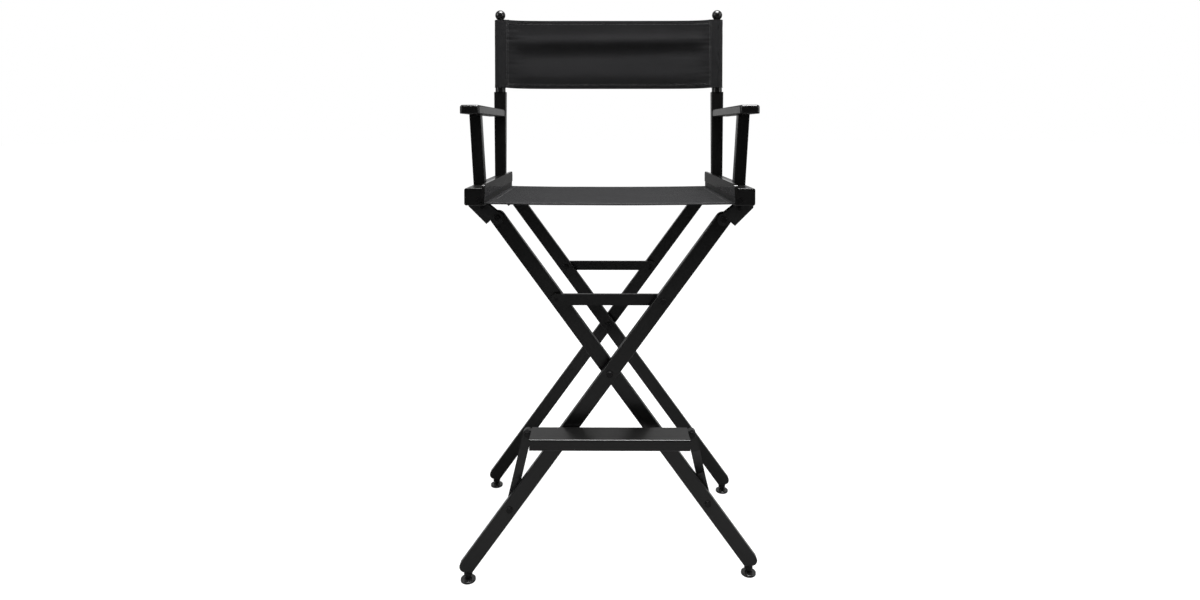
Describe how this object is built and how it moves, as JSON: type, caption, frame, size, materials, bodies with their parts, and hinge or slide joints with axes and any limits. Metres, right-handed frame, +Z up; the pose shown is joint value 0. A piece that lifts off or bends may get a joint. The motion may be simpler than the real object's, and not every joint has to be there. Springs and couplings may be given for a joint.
{
  "type": "folding director chair",
  "caption": "Tall folding director chair with crossed legs, canvas seat and back, flat arms, swivel feet, hooked spreader bars and a fold-up footrest.",
  "frame": {"origin": "on the floor under the middle of the chair's overall width and depth", "axes": "+Z up, -Y towards the front, +X to the right seen from the front"},
  "size_m": [0.6008, 0.472, 1.199],
  "materials": {
    "black_lacquered_wood": "satin black lacquer on wood",
    "black_gloss_strip": "gloss black lacquer",
    "black_steel": "black powder coated steel",
    "black_fasteners": "blackened steel fasteners",
    "black_canvas": "heavy woven cotton canvas",
    "black_glide": "hard black plastic"
  },
  "bodies": {
    "inner_pads": {"inner_foot_pads": "black_glide"},
    "inner_legs": {"inner_front_leg": "black_lacquered_wood", "inner_rear_leg": "black_lacquered_wood", "inner_foot_stems": "black_fasteners", "crossing_bolts": "black_fasteners", "crossing_nuts": "black_fasteners", "crossing_spacers": "black_fasteners", "spreader_pins": "black_fasteners", "footrest_right_rivet": "black_fasteners"},
    "outer_legs": {"outer_front_leg": "black_lacquered_wood", "outer_rear_leg": "black_lacquered_wood", "outer_foot_stems": "black_fasteners", "spreader_studs": "black_fasteners", "footrest_left_rivet": "black_fasteners"},
    "outer_pads": {"outer_foot_pads": "black_glide"},
    "spreader_bars": {"front_spreader_bar": "black_lacquered_wood", "rear_spreader_bar": "black_lacquered_wood"},
    "footrest_left_link": {"footrest_left_arm": "black_lacquered_wood"},
    "footrest_right_link": {"footrest_right_arm": "black_lacquered_wood", "footrest_right_pin": "black_fasteners"},
    "footrest": {"footrest_board": "black_lacquered_wood", "footrest_left_strap": "black_steel", "footrest_right_strap": "black_steel", "footrest_strap_screws": "black_fasteners", "footrest_left_pin": "black_fasteners"},
    "left_side": {"left_brackets": "black_steel", "left_bracket_rivets": "black_fasteners", "left_pivot_bolts": "black_fasteners", "left_pivot_nuts": "black_fasteners", "left_rail_screws": "black_fasteners", "left_seat_rail": "black_lacquered_wood", "left_keeper_strip": "black_gloss_strip", "left_keeper_screws": "black_fasteners", "left_seat_dowel": "black_lacquered_wood", "left_front_post": "black_lacquered_wood", "left_rear_post": "black_lacquered_wood", "left_arm": "black_lacquered_wood", "left_arm_plug": "black_lacquered_wood", "left_arm_bolt": "black_fasteners", "left_back_pole": "black_lacquered_wood", "left_finial": "black_lacquered_wood", "seat_canvas": "black_canvas", "back_canvas": "black_canvas"},
    "right_side": {"right_brackets": "black_steel", "right_bracket_rivets": "black_fasteners", "right_pivot_bolts": "black_fasteners", "right_pivot_nuts": "black_fasteners", "right_rail_screws": "black_fasteners", "right_seat_rail": "black_lacquered_wood", "right_keeper_strip": "black_gloss_strip", "right_keeper_screws": "black_fasteners", "right_seat_dowel": "black_lacquered_wood", "right_front_post": "black_lacquered_wood", "right_rear_post": "black_lacquered_wood", "right_arm": "black_lacquered_wood", "right_arm_plug": "black_lacquered_wood", "right_arm_bolt": "black_fasteners", "right_back_pole": "black_lacquered_wood", "right_finial": "black_lacquered_wood"}
  },
  "joints": [
    {"name": "fold", "type": "hinge", "parent": "inner_legs", "child": "outer_legs", "pos_m": [0, 0.026, 0.42], "axis": [0, -1, 0], "range_deg": [0, 64.35], "deforming": ["seat_canvas", "back_canvas"]},
    {"name": "inner_foot_tilt", "type": "hinge", "parent": "inner_pads", "child": "inner_legs", "pos_m": [0.28367, 0.026, 0.009], "axis": [0, -1, 0], "range_deg": [-32.18, 0]},
    {"name": "outer_foot_tilt", "type": "hinge", "parent": "outer_legs", "child": "outer_pads", "pos_m": [-0.28367, 0.026, 0.009], "axis": [0, -1, 0], "range_deg": [-32.18, 0]},
    {"name": "left_side_level", "type": "hinge", "parent": "inner_legs", "child": "left_side", "pos_m": [-0.2252, 0.026, 0.728], "axis": [0, -1, 0], "range_deg": [0, 32.18]},
    {"name": "right_side_level", "type": "hinge", "parent": "outer_legs", "child": "right_side", "pos_m": [0.2252, 0.026, 0.728], "axis": [0, -1, 0], "range_deg": [-32.18, 0]},
    {"name": "spreader_unhook", "type": "hinge", "parent": "inner_legs", "child": "spreader_bars", "pos_m": [-0.10602, 0.026, 0.565], "axis": [0, -1, 0], "range_deg": [0, 83.66]},
    {"name": "footrest_left_swing", "type": "hinge", "parent": "outer_legs", "child": "footrest_left_link", "pos_m": [-0.19961, -0.15, 0.147], "axis": [0, -1, 0], "range_deg": [0, 25.75]},
    {"name": "footrest_right_swing", "type": "hinge", "parent": "inner_legs", "child": "footrest_right_link", "pos_m": [0.19961, -0.125, 0.147], "axis": [0, -1, 0], "range_deg": [-25.75, 0]},
    {"name": "footrest_level", "type": "hinge", "parent": "footrest_left_link", "child": "footrest", "pos_m": [-0.16301, -0.167, 0.301], "axis": [0, -1, 0], "range_deg": [-57.92, 0]}
  ],
  "couplings": [
    {"joint": "inner_foot_tilt", "follows": "fold", "ratio": -0.5},
    {"joint": "outer_foot_tilt", "follows": "fold", "ratio": -0.5},
    {"joint": "left_side_level", "follows": "fold", "ratio": 0.5},
    {"joint": "right_side_level", "follows": "fold", "ratio": -0.5},
    {"joint": "spreader_unhook", "follows": "fold", "ratio": 1.3},
    {"joint": "footrest_left_swing", "follows": "fold", "ratio": 0.4},
    {"joint": "footrest_right_swing", "follows": "fold", "ratio": -0.4},
    {"joint": "footrest_level", "follows": "fold", "ratio": -0.9}
  ]
}
